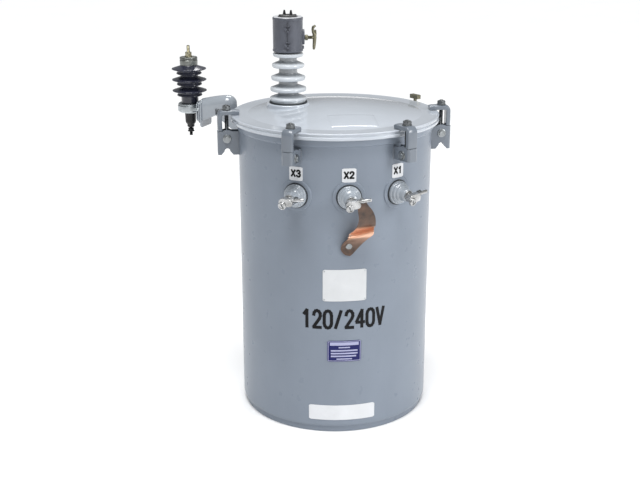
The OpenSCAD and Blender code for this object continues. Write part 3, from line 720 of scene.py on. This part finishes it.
def hv_terminal(at):
    """A threaded shaft through the cap's side, with a forked cross bar cast on its end."""
    low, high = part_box("hv_terminal")
    z = middle("hv_terminal").z
    reach = high[0] - at.translation.x - 5 * MM
    half = (high[2] - low[2]) / 2 * 0.9
    bm = bmesh.new()
    screw(bm, 5 * MM, 12 * MM, reach - 4 * MM, at @ up(z) @ Z_TO_X)
    nut(bm, 15 * MM, 8 * MM, at @ Matrix.Translation((49.5 * MM, 0, z)) @ Z_TO_X, False)
    # each point: mm past the reach, share of the half height, radius
    bar = [
        (-2, -1, 3.0), (-1.5, -0.8, 4.4), (-0.5, -0.45, 5.0), (0, -0.15, 5.4), (0, 0, 6.0), (-1, 0.25, 5.0),
        (-4, 0.48, 4.2), (-5, 0.68, 4.0), (-4, 0.84, 4.0), (0.5, 0.92, 4.0), (2.5, 0.86, 3.2),
    ]
    fork = [(0.5, 0, 4.6), (2.5, 0.3, 3.6), (2.8, 0.62, 2.4)]
    for points, sides in ((bar, 16), (fork, 14)):
        line = [(reach + x * MM, 0, z + half * share) for x, share, r in points]
        tube(bm, line, [r * MM for x, share, r in points], sides, at)
    lathe(bm, rounded(mm([(0, -33), (12, -33), (12, 16, 3), (0, 18)], 0, z)), 40, at)
    finish_mesh("hv_line_terminal", bm, BRONZE, ("hv_terminal",), sharp=45)


# ---- surge arrester


def arrester():
    """Sheds, top cap and stud, clamp band, disconnector and its stud, then the arm."""
    at = Matrix.Translation((*middle("arrester_housing")[:2], 0))
    base, top = span("arrester_housing")
    bm = bmesh.new()
    profile = [(0, 0), (26, 0)]
    for z in (22, 55, 88):
        profile += [
            (26, z - 1, 3), (36, z - 0.5, 1), (38.5, z + 1, 1), (38, z + 3, 1), (34, z + 10, 2),
            (50, z + 13.5, 1), (52.5, z + 15, 0.9), (51.5, z + 17, 1.2), (27, z + 25, 5),
        ]
    lathe(bm, rounded(mm(profile, 0, base) + [(26 * MM, top), (0, top)], 4), 96, at)
    finish_mesh("arrester_sheds", bm, POLYMER, ("arrester_housing",), sharp=60)

    z = span("arrester_terminal")[0]
    bm = bmesh.new()
    profile = [(0, 0), (26.5, 0, 1), (27, 15, 1), (25, 17, 0.8), (27, 19, 1), (26.5, 24, 1.5)]
    lathe(bm, rounded(mm(profile + [(18, 25, 2), (0, 25)], 0, z), 4), 64, at)
    finish_mesh("arrester_top_cap", bm, DARK_STEEL)
    bm = bmesh.new()
    lathe(bm, rounded(mm([(0, 25), (12, 25, 1), (12, 27.5, 1), (0, 27.5)], 0, z)), 32, at)
    nut(bm, 19 * MM, 11 * MM, at @ up(z + 27.5 * MM), False)
    screw(bm, 5 * MM, z + 30 * MM, z + 59 * MM, at)
    finish_mesh("arrester_stud", bm, BRASS, ("arrester_terminal",), sharp=40)

    bm = bmesh.new()
    low, high = span("arrester_band")
    profile = mm([(26.5, 0), (33, 0, 2), (37.5, 5, 1)], 0, low)
    profile += mm([(37.5, -7, 1.5), (34.5, -5.5, 1), (36.5, -3, 1.2), (33, 0, 1.5), (26.5, 0)], 0, high)
    hoop(bm, profile, 72, at)
    toward = at @ Matrix.Rotation(math.radians(ARRESTER_ANGLE + 90), 4, "Z")
    for y in (-30 * MM, 30 * MM):
        hole = toward @ Matrix.Translation((34 * MM, y, (low + high) / 2)) @ Z_TO_X
        screw(bm, 4 * MM, -8 * MM, 12 * MM, hole)
    finish_mesh("arrester_clamp", bm, BAND_STEEL, ("arrester_band",), sharp=45)

    bm = bmesh.new()
    z, top = span("arrester_disconnector")
    profile = mm([(0, 25), (8, 25), (11, 27, 1), (11, 34, 1), (14.5, 38, 2), (16, 42, 2)], 0, z)
    profile += mm([(17, -30, 1), (24, -27, 2), (25.8, -22), (25.8, 0), (0, 0)], 0, top)
    lathe(bm, rounded(profile, 4), 56, at)
    replaced = ("arrester_disconnector",)
    finish_mesh("arrester_lead_fuse", bm, BLACK_PLASTIC, replaced, sharp=50)
    bm = bmesh.new()
    screw(bm, 5 * MM, z, z + 27 * MM, at)
    nut(bm, 17 * MM, 8 * MM, at @ up(z + 12 * MM))
    finish_mesh("arrester_ground_stud", bm, BLACK_PLASTIC, sharp=40)
    arrester_arm()


def arrester_arm():
    """A pressed hood that domes down to its inner end, on two cheeks from the wall, with band jaws."""
    half, sheet, end, length, fall = 28 * MM, 4 * MM, COVER_R + 47 * MM, 86 * MM, 16 * MM
    top, hood_low = RIM_TOP + 30 * MM, RIM_TOP - 18 * MM
    jaw_low, leg_low = RIM_TOP - 70 * MM, RIM_TOP - 102 * MM
    drop = hood_low - jaw_low - 16 * MM
    at = outward(ARRESTER_ANGLE)
    bm = bmesh.new()
    # each section: how far out, half its width, its crown and its lower edge
    sections = []
    for i in range(7):
        share = 1 - i / 6
        sections.append((end + length * share, half, top - fall * share**1.4, hood_low - drop * share))
    for i in range(1, 9):
        t = math.radians(10.6 * i)
        wide = half * math.cos(t)
        sections.append((end - half * math.sin(t), wide, top - half + wide, hood_low))
    skins = []
    for inset in (0.0, sheet):
        rings = []
        for x, w, crown, low in sections:
            w = max(w - inset, 0.6 * MM)
            rise = w * 0.85
            spring = crown - inset - rise
            turn = [math.pi * k / 12 for k in range(1, 12)]
            arch = [(-w, low), (-w, (low + spring) / 2), (-w, spring)]
            arch += [(-w * math.cos(t), spring + rise * math.sin(t)) for t in turn]
            arch += [(w, spring), (w, (low + spring) / 2), (w, low)]
            shift = inset if x < end else 0
            rings.append([bm.verts.new(at @ Vector((x + shift, y, z))) for y, z in arch])
        skins.append(rings)
    sheet_metal(bm, *skins)
    root, knee, waist = TANK_R - 5 * MM, end + 30 * MM, RIM_TOP - 40 * MM
    cheek = [
        (root, leg_low), (knee, jaw_low + 42 * MM), (knee, hood_low + 12 * MM),
        (end - 8 * MM, hood_low + 12 * MM), (TANK_R + 24 * MM, waist), (root, waist),
    ]
    for side in (-1, 1):
        y = side * (half - sheet / 2)
        prism(bm, cheek, y - sheet / 2, y + sheet / 2, at @ Z_TO_LEFT)
    # the jaws: an end plate and two pressed ribs that hug the band
    for x, thick, wide, low, high in ((-5, 5, 33, 0, 84), (3, 4, 31, 12, 80), (10, 4, 30, 18, 78)):
        near = end + length + (x - 6) * MM
        plan = [
            (-wide, low + 6), (-wide + 6, low), (wide - 6, low), (wide, low + 6),
            (wide, high - 10), (wide - 10, high), (-wide + 10, high), (-wide, high - 10),
        ]
        prism(bm, mm(plan, 0, jaw_low), near, near + thick * MM, at @ PLAN_OUT)
    tip = end + length
    block(bm, (tip - 8 * MM, -12 * MM, jaw_low + 34 * MM), (tip + 9 * MM, 12 * MM, jaw_low + 66 * MM), at)
    finish_mesh("arrester_arm", bm, LIT_ARM_PAINT, ("arrester_bracket",), 1.2 * MM, sharp=45)


# ---- low voltage side


def lv_side():
    """Three stepped bushings on pads, each with its seal and its terminal."""
    z = middle("lv_bushing_x2").z
    pads, seals = bmesh.new(), bmesh.new()
    steps = [
        (0, 3), (32.5, 3), (32.5, 9.5, 2.5), (31, 11, 1), (29, 11.5, 1), (29, 16, 2), (27.5, 19.5, 2),
        (24, 20.5, 1.5), (24, 25.5, 2.5), (21, 29, 2), (19.5, 30, 1), (18.5, 38, 2), (17.5, 44, 2),
        (14, 46, 2), (0, 46),
    ]
    for name, angle in LV_ANGLES.items():
        at = outward(angle, z) @ Z_TO_X
        hoop(pads, mm([(20, -8), (47, -8), (45, 0.9, 3), (20, 0.9)], 0, TANK_R), 72, at)
        hoop(seals, mm([(24, -2), (35.5, -2), (35.5, 4, 1.8), (24, 4)], 0, TANK_R), 72, at)
        bm = bmesh.new()
        lathe(bm, rounded(mm(steps, 0, TANK_R), 4), 72, at)
        finish_mesh("lv_insulator_" + name, bm, LV_GLAZE, ("lv_bushing_" + name,), sharp=50)
        lv_terminal(name, outward(angle, z))
    finish_mesh("lv_wall_pads", pads, TANK_PAINT)
    finish_mesh("lv_seals", seals, GASKET, ("lv_gaskets",))


def lv_terminal(name, at):
    """An eye stud that takes the lead, with a set screw across it."""
    bm = bmesh.new()
    x = -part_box("lv_terminal_x2")[0][1] - 16 * MM
    screw(bm, 8 * MM, TANK_R + 40 * MM, TANK_R + 54 * MM, at @ Z_TO_X)
    lathe(bm, rounded(mm([(0, 46), (13, 46, 1), (13, 49, 1), (0, 49)], 0, TANK_R)), 32, at @ Z_TO_X)
    # the eye's body: a rounded block with its long side across
    body = at @ Matrix.Translation((x, 1 * MM, -3 * MM))
    outline = []
    for centre, r, start in ((11, 9.5, -90), (-8, 12, 90)):
        turn = [math.radians(start + 180 * i / 8) for i in range(9)]
        outline += [(centre + r * math.cos(t), r * math.sin(t)) for t in turn]
    prism(bm, mm(outline), -9 * MM, 10 * MM, body @ PLAN_OUT)
    # a set screw with a slotted round head, pointing out and a little down; the slot is a dark bar of painted
    # shade
    place = Matrix.Translation((7 * MM, -9 * MM, -7 * MM))
    head = body @ place @ Matrix.Rotation(math.radians(16 + 90), 4, "Y")
    profile = [(0, 0), (11, 0), (11, 7, 2), (7.5, 8, 1), (7, 5.5, 0.5), (0, 5.5)]
    lathe(bm, rounded(mm(profile)), 36, head)
    # a plate along the top, which the clamp bolt runs under
    plate = body @ Matrix.Rotation(math.radians(4), 4, "X")
    block(bm, (-8 * MM, -15 * MM, 7 * MM), (9 * MM, 24 * MM, 11.5 * MM), plate)
    bolt = at @ Matrix.Translation((x, 0, 3 * MM)) @ Matrix.Rotation(math.radians(6 - 90), 4, "X")
    shank = [(12, 5), (22, 5), (30, 5), (40, 5), (50, 4.6), (51.5, 3.8)]
    tube(bm, [(0, 0, h * MM) for h, r in shank], [r * MM for h, r in shank], 18, bolt)
    finish_mesh("lv_connector_" + name, bm, TIN, ("lv_terminal_" + name,), bevel=0.8 * MM, sharp=40)
    dark = bmesh.new()
    nut(dark, 15 * MM, 8 * MM, bolt @ Matrix.Translation((-4 * MM, 0, 23 * MM)), False)
    # painted shade: a dark steel bar laid in the head's dish stands for the shade in its slot
    slot = head @ Matrix.Rotation(math.radians(20), 4, "Z")
    block(dark, (-6.5 * MM, -1.6 * MM, 4 * MM), (6.5 * MM, 1.6 * MM, 6.6 * MM), slot)
    finish_mesh("lv_nut_and_slot_shade_" + name, dark, BOLT_STEEL, bevel=0.4 * MM, sharp=40)


def smooth_line(points, steps):
    """Points on a smooth curve through the given ones, with so many steps between each two."""
    fine = []
    for i in range(len(points) - 1):
        p0, p1, p2, p3 = points[max(i - 1, 0)], points[i], points[i + 1], points[min(i + 2, len(points) - 1)]
        for step in range(steps):
            t = step / steps
            bent = (p2 - p0) * t + (2 * p0 - 5 * p1 + 4 * p2 - p3) * t**2 + (3 * p1 - p0 - 3 * p2 + p3) * t**3
            fine.append(0.5 * (2 * p1 + bent))
    return fine + [points[-1]]


def ground_strap():
    """A copper sheet strip from the middle terminal, folded to the right and back to the wall."""
    reach = -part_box("lv_terminal_x2")[0][1] - TANK_R - 16 * MM
    # each rung: its left and right ends as (right, out as a share of the reach, up)
    rungs = [
        ((12, 1.0, 139), (37, 0.95, 139)), ((13, 1.0, 127), (44, 0.94, 129)),
        ((16, 0.94, 109), (56, 0.84, 113)), ((19, 0.83, 89), (64, 0.74, 95)),
        ((17, 0.64, 67), (68, 0.58, 74)), ((9, 0.42, 48), (68, 0.44, 61)),
        ((0, 0.28, 38), (66, 0.34, 55)), ((-5, 0.46, 31), (63, 0.6, 47)),
        ((-8, 0.44, 25), (61, 0.58, 40)), ((-14, 0.22, 14), (44, 0.34, 20)),
        ((-20, 0.08, 2), (30, 0.14, 0)), ((-22, 0.055, -10), (18, 0.055, -16)),
        ((-17, 0.055, -20), (9, 0.055, -26)), ((-9, 0.055, -27), (3, 0.055, -30)),
    ]
    ends = [[Vector((TANK_R + o * reach, r * MM, u * MM)) for r, o, u in rung] for rung in rungs]
    at = outward(0, middle("ground_boss").z)
    bm = bmesh.new()
    steps, across, half = 6, 6, 0.8 * MM
    lines = [smooth_line([e[side] for e in ends], steps) for side in (0, 1)]
    rows = [[left.lerp(right, k / across) for k in range(across + 1)] for left, right in zip(*lines)]
    sheets = [[], []]
    for i, row in enumerate(rows):
        along = rows[min(i + 1, len(rows) - 1)][across // 2] - rows[max(i - 1, 0)][across // 2]
        normal = along.cross(row[-1] - row[0]).normalized()
        for sheet, lift in zip(sheets, (-half, half)):
            sheet.append([bm.verts.new(at @ (p + normal * lift)) for p in row])
    back, front = sheets
    sheet_metal(bm, front, back)
    finish_mesh("copper_ground_strap", bm, COPPER, ("ground_strap",), sharp=40)

    bm = bmesh.new()
    out = at @ Z_TO_X
    lathe(bm, rounded(mm([(0, -4), (11, -4), (11, 1.8, 1), (0, 1.8)], 0, TANK_R)), 32, out)
    nut(bm, 15.5 * MM, 6 * MM, out @ up(TANK_R + 4 * MM))
    finish_mesh("ground_bolt", bm, ZINC, ("ground_boss",))


# ---- plates and marks


def on_wall(angle, right, height, lift):
    """A point on the wall: right of the angle's line by an arc length, above the floor."""
    t = math.radians(angle) + right / TANK_R
    r = TANK_R + lift
    return Vector((r * math.sin(t), -r * math.cos(t), height))


def wall_bar(bm, angle, places, thick):
    """A closed bar laid on the wall, from pairs of (low side, high side, lift) along it."""
    rings = []
    for low, high, lift in places:
        corners = [(low, lift), (high, lift), (high, lift + thick), (low, lift + thick)]
        rings.append([bm.verts.new(on_wall(angle, *point, rise)) for point, rise in corners])
    skin(bm, rings)


def curved_patch(bm, angle, low, high, lift, thick, corner=0.0):
    """A thin plate on the wall from (right, height) low to high, as a closed solid."""
    width = high[0] - low[0]
    count = max(4, int(width / (5 * MM)))
    places = []
    for i in range(count + 1):
        x = low[0] + width * i / count
        inset, near = 0.0, min(x - low[0], high[0] - x)
        if near < corner:
            inset = corner - math.sqrt(corner**2 - (corner - near) ** 2)
        places.append(((x, low[1] + inset), (x, high[1] - inset), lift))
    wall_bar(bm, angle, places, thick)


def chain(*points):
    return list(zip(points, points[1:]))


STROKES = {
    "X": [[(0, 0), (4, 6)], [(0, 6), (4, 0)]],
    "V": [[(0, 6), (2, 0)], [(2, 0), (4, 6)]],
    "/": [[(0.3, 0), (3.2, 6)]],
    "1": [[(0.6, 4.6), (2.2, 6)], [(2.2, 6), (2.2, 0)]],
    "0": chain(
        (0, 1.6), (0, 4.4), (0.35, 5.3), (1.1, 5.9), (2, 6.05), (2.9, 5.9), (3.65, 5.3), (4, 4.4), (4, 1.6),
        (3.65, 0.7), (2.9, 0.1), (2, -0.05), (1.1, 0.1), (0.35, 0.7), (0, 1.6),
    ),
    "2": chain((0.1, 4.5), (0.4, 5.3), (1.1, 5.9), (2, 6.05), (3, 5.8), (3.7, 5.1), (3.8, 4.2), (3.3, 3.2))
    + chain((3.3, 3.2), (0.1, 0.2)) + chain((0, 0), (4, 0)),
    "3": chain((0.2, 5.0), (0.9, 5.8), (2, 6.05), (3.1, 5.8), (3.7, 5), (3.7, 4.2), (3.1, 3.4), (1.8, 3.1))
    + chain((2.4, 3.15), (3.3, 2.8), (3.95, 2), (3.9, 1), (3.2, 0.2), (2, -0.05), (0.9, 0.2), (0.1, 1.0)),
    "4": [[(3, 0), (3, 6)], [(3, 6), (0, 2)], [(0, 1.7), (4.2, 1.7)]],
}


def stroke(bm, angle, start, end, half, lift, thick):
    """One straight bar of a letter, laid on the wall with square ends run on a little."""
    a, b = Vector(start), Vector(end)
    along = (b - a).normalized()
    a, b = a - along * half * 0.7, b + along * half * 0.7
    across = Vector((-along.y, along.x)) * half
    count = max(1, int(abs(b.x - a.x) / (4 * MM)) + 1)
    middles = [a.lerp(b, i / count) for i in range(count + 1)]
    wall_bar(bm, angle, [(p - across, p + across, lift) for p in middles], thick)


def lettering(bm, text, angle, centre, height, width, half, lift, thick=0.25 * MM):
    """Plain block letters: each is one cell wide, on a 4 by 6 grid, with a gap of 2."""
    cell = width / (6 * len(text) - 2)
    rise = height / 6
    for i, letter in enumerate(text):
        left = centre[0] - width / 2 + i * 6 * cell
        for a, b in STROKES[letter]:
            points = [(left + p[0] * cell, centre[1] - height / 2 + p[1] * rise) for p in (a, b)]
            stroke(bm, angle, *points, half, lift, thick)


def plate(name, node, angle, half, film, slot):
    """A blank plate on the wall at a CAD node's heights, which it gives back."""
    low, high = span(node)
    bm = bmesh.new()
    curved_patch(bm, angle, (-half, low), (half, high), 0, PLATE_T, 3 * MM)
    finish_mesh(name, bm, film, (node,), bevel=0.25 * MM)
    return low, high


def plates():
    """Rating, notice and maker's plates, terminal markers, lettering, the notice's bars and rivets."""
    ink, white, steel = bmesh.new(), bmesh.new(), bmesh.new()

    low, high = plate("rating_plate_blank", "rating_plate", PLATE_ANGLE, 61.5 * MM, PLATE_FILM, "plate_white")
    voltage_z = low
    head = mm([(0, -0.5), (2.2, -0.5), (2.1, 0.4), (1.4, 1.0), (0, 1.2)], 0, TANK_R + PLATE_T)
    for x in (-57 * MM, 57 * MM):
        for z in (low + 5 * MM, high - 5 * MM):
            lathe(steel, head, 16, outward(PLATE_ANGLE + math.degrees(x / TANK_R), z) @ Z_TO_X)

    low, high = plate("notice_plate_blue", "notice_plate", PLATE_ANGLE, 48.5 * MM, BLUE_FILM, "plate_blue")
    voltage_z = (voltage_z + high) / 2 + 5 * MM

    def bar(left, right, bottom, top):
        curved_patch(white, PLATE_ANGLE, (left, bottom), (right, top), PLATE_T - 0.1 * MM, PRINT_T)

    edge = 0.8 * MM
    for z in (low + 2.4 * MM, high - 2.4 * MM):
        bar(-46 * MM, 46 * MM, z - edge, z + edge)
    for x in (-45.8 * MM, 45.8 * MM):
        bar(x - edge, x + edge, low + 2 * MM, high - 2 * MM)
    # rows of the notice: fall from its top, left, right, half height
    rows = [
        (9.5, -41, 41, 4.6), (20.5, -16, 16, 1.8), (30, -38, 38, 2.2), (38.5, -38, 38, 2.2),
        (47, -38, 34, 2.2), (55.5, -22, 22, 1.8),
    ]
    for fall, left, right, half in rows:
        z = high - fall * MM
        bar(left * MM, right * MM, z - half * MM, z + half * MM)

    plate("maker_plate_blank", "maker_plate", PLATE_ANGLE - 1, 96.5 * MM, WHITE_FILM, "plate_white")

    bm = bmesh.new()
    low, high = span("terminal_markers")
    centre = (0, (low + high) / 2 + 1 * MM)
    for name, angle in LV_ANGLES.items():
        curved_patch(bm, angle, (-19.5 * MM, low), (19.5 * MM, high), 0, PLATE_T, 2 * MM)
        lettering(ink, name.upper(), angle, centre, 17 * MM, 25 * MM, 2.5 * MM, PLATE_T - 0.05 * MM)
    replaced = ("terminal_markers",)
    finish_mesh("terminal_marker_labels", bm, WHITE_FILM, replaced, bevel=0.25 * MM)

    centre = (-1 * MM, voltage_z)
    lettering(ink, "120/240V", PLATE_ANGLE, centre, 50 * MM, 234 * MM, 4.6 * MM, -0.1 * MM, 0.4 * MM)
    finish_mesh("block_lettering", ink, INK, sharp=60)
    finish_mesh("notice_plate_bars", white, PRINT_GREY)
    finish_mesh("plate_rivets", steel, BAND_STEEL)


# ---- pole side


def support_lugs():
    """The two lugs for the pole, and the welds up their sides."""
    welds = bmesh.new()
    for name in ("upper_support_lug", "lower_support_lug"):
        from_cad(name, HARDWARE_PAINT, 2 * MM)
        cheek_welds(welds, 36 * MM, 5 * MM, 0.5 * MM, span(name), 24, 2.6 * MM, outward(180))
    finish_mesh("lug_welds", welds, HARDWARE_PAINT)


# ---- stage, lights, camera


def stage():
    """A pale floor and an even pale sky."""
    p = Paint("pale_floor")
    p.colour(p.ramp(p.noise(2, 3), [(0.3, (0.94, 0.94, 0.94)), (0.7, (0.96, 0.96, 0.96))]))
    p.rough(p.noise(8, 2), 0.55, 0.7)
    bm = bmesh.new()
    corners = ((-1, -1), (1, -1), (1, 1), (-1, 1))
    bm.faces.new([bm.verts.new((x * FLOOR_HALF, y * FLOOR_HALF, 0)) for x, y in corners])
    mesh = bpy.data.meshes.new("floor")
    bm.to_mesh(mesh)
    bm.free()
    floor = bpy.data.objects.new("floor", mesh)
    mesh.materials.append(p.material)
    bpy.context.scene.collection.objects.link(floor)
    world = bpy.data.worlds.new("studio")
    world.use_nodes = True
    sky = world.node_tree.nodes["Background"]
    sky.inputs["Color"].default_value = SKY_COLOUR
    sky.inputs["Strength"].default_value = SKY_POWER
    bpy.context.scene.world = world


def area_light(name, place, target, size, power):
    """A rectangular light, in watts, that faces its target."""
    light = bpy.data.lights.new(name, "AREA")
    light.shape = "RECTANGLE"
    light.size, light.size_y = size
    light.energy = power
    lamp = bpy.data.objects.new(name, light)
    lamp.location = place
    lamp.rotation_euler = (Vector(target) - Vector(place)).to_track_quat("-Z", "Y").to_euler()
    bpy.context.scene.collection.objects.link(lamp)


def lights():
    """A wide soft sun, a light behind and above, and one from the front right."""
    sun = bpy.data.lights.new("soft_sky", "SUN")
    sun.energy = SUN_POWER
    sun.angle = math.radians(SUN_SPREAD)
    lamp = bpy.data.objects.new("soft_sky", sun)
    lamp.rotation_euler = (math.radians(SUN_TILT[0]), math.radians(SUN_TILT[1]), 0)
    bpy.context.scene.collection.objects.link(lamp)
    area_light("back_top", (0.2, 2.2, 3.2), (0, 0, 0.9), (1.6, 0.7), 30)
    area_light("front_right", (3.0, -2.6, 2.4), (0, 0, 0.6), (1.2, 1.8), 75)


def camera():
    azimuth, distance, height = math.radians(-8), 3.1444, 1.5176
    pitch, yaw = math.radians(17.98), math.radians(0.79)
    data = bpy.data.cameras.new("view")
    data.lens = 61.83
    data.sensor_width = 36
    eye = bpy.data.objects.new("view", data)
    eye.location = (distance * math.sin(azimuth), -distance * math.cos(azimuth), height)
    eye.rotation_euler = (math.pi / 2 - pitch, 0, azimuth + yaw)
    bpy.context.scene.collection.objects.link(eye)
    bpy.context.scene.camera = eye


camera()
stage()
lights()
tank()
cover()
clamps()
hv_side()
arrester()
lv_side()
ground_strap()
from_cad("cover_bond", BRONZE, 1.5 * MM)
plates()
support_lugs()
for cad_node, cad_material in (("tank_bottom", TANK_PAINT), ("core_and_oil", ZINC)):
    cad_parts[cad_node].data.materials[0] = cad_material
bpy.context.scene.view_settings.view_transform = "Standard"
